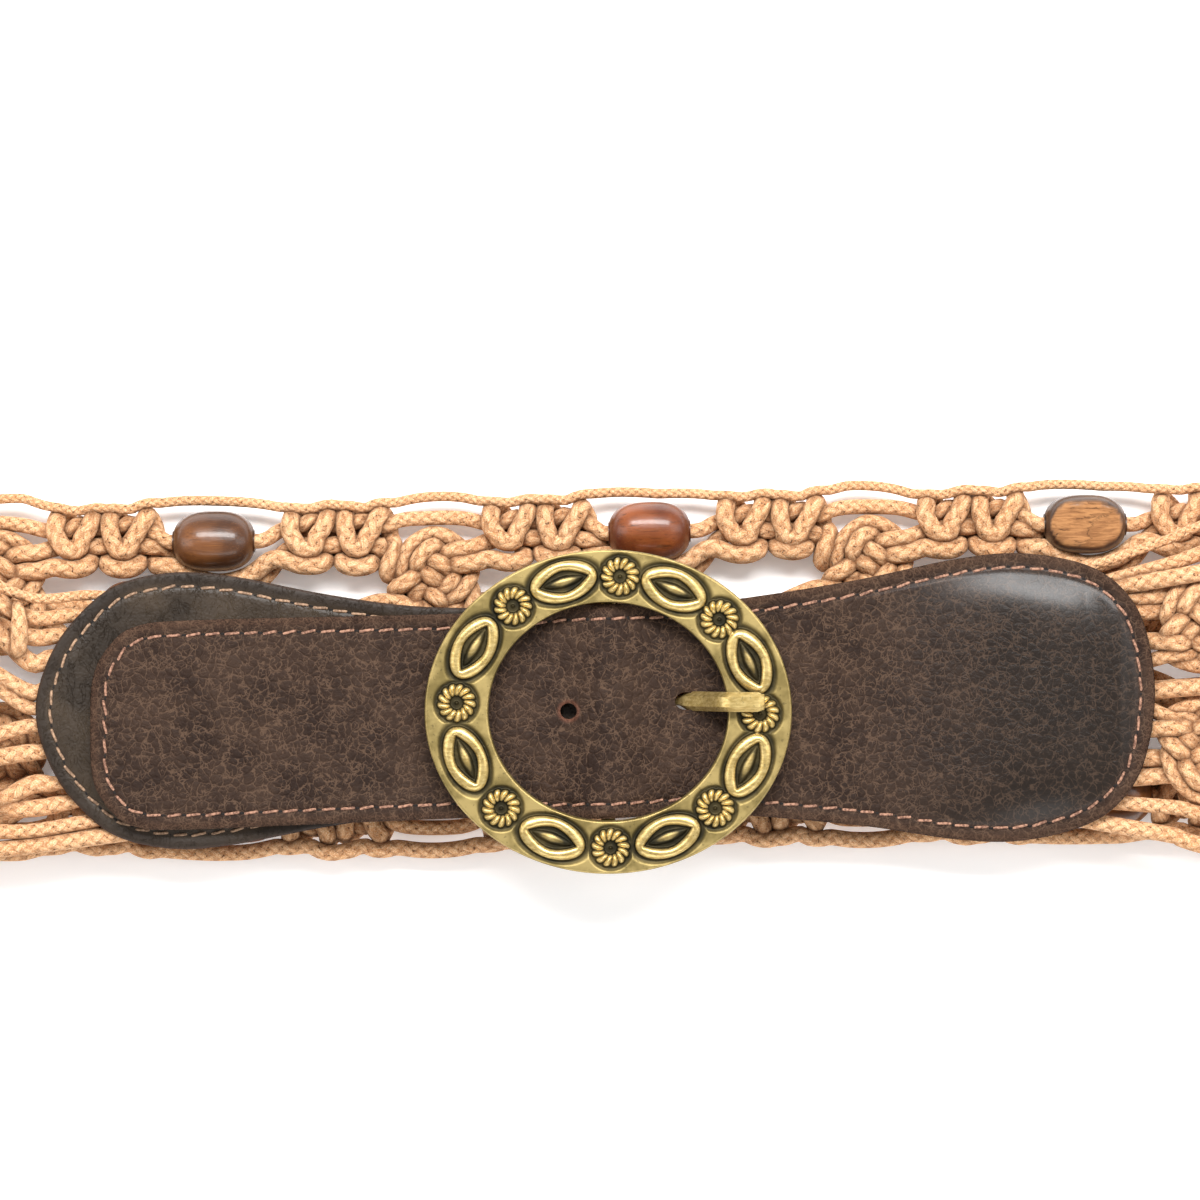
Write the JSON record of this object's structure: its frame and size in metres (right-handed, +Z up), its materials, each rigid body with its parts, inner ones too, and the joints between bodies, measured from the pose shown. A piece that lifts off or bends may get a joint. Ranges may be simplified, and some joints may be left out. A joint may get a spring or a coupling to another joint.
{
  "type": "rope belt",
  "caption": "Knotted cotton rope belt with wooden barrel beads, brown leather ends and an oval antique brass buckle, fastened into a loop and laid flat.",
  "frame": {"origin": "on the surface that the belt lies on, under the middle of its bounding box", "axes": "+X along the belt, from the leather tab's end to the strap's wide end; +Y across it, towards the edge with the thin cord; +Z up from the surface, towards the buckle's face"},
  "size_m": [0.458, 0.0808, 0.0294],
  "materials": {
    "cord": "braided waxed cotton cord, tan",
    "bead_wood": "turned wood, stained brown and varnished",
    "smooth_leather": "smooth creased leather, dark olive brown",
    "suede_leather": "distressed crackled leather, dark brown",
    "brass": "antique brass, dark in the recesses and polished on the relief"
  },
  "bodies": {
    "root": {"macrame_band": "cord", "left_tab": "smooth_leather", "strap": "suede_leather", "buckle_frame": "brass", "buckle_prong": "brass", "bead_edge_top_1": "bead_wood", "bead_edge_top_2": "bead_wood", "bead_edge_top_3": "bead_wood", "bead_edge_top_4": "bead_wood", "bead_edge_top_5": "bead_wood", "bead_edge_top_6": "bead_wood", "bead_edge_top_7": "bead_wood", "bead_edge_bottom_1": "bead_wood", "bead_edge_bottom_2": "bead_wood", "bead_edge_bottom_3": "bead_wood", "bead_edge_bottom_4": "bead_wood", "bead_edge_bottom_5": "bead_wood", "bead_edge_bottom_6": "bead_wood", "bead_edge_bottom_7": "bead_wood", "bead_inner_top_1": "bead_wood", "bead_inner_top_2": "bead_wood", "bead_inner_top_3": "bead_wood", "bead_inner_top_4": "bead_wood", "bead_inner_top_5": "bead_wood", "bead_inner_top_6": "bead_wood", "bead_inner_top_7": "bead_wood", "bead_inner_bottom_1": "bead_wood", "bead_inner_bottom_2": "bead_wood", "bead_inner_bottom_3": "bead_wood", "bead_inner_bottom_4": "bead_wood", "bead_inner_bottom_5": "bead_wood", "bead_inner_bottom_6": "bead_wood", "bead_inner_bottom_7": "bead_wood"}
  },
  "joints": []
}
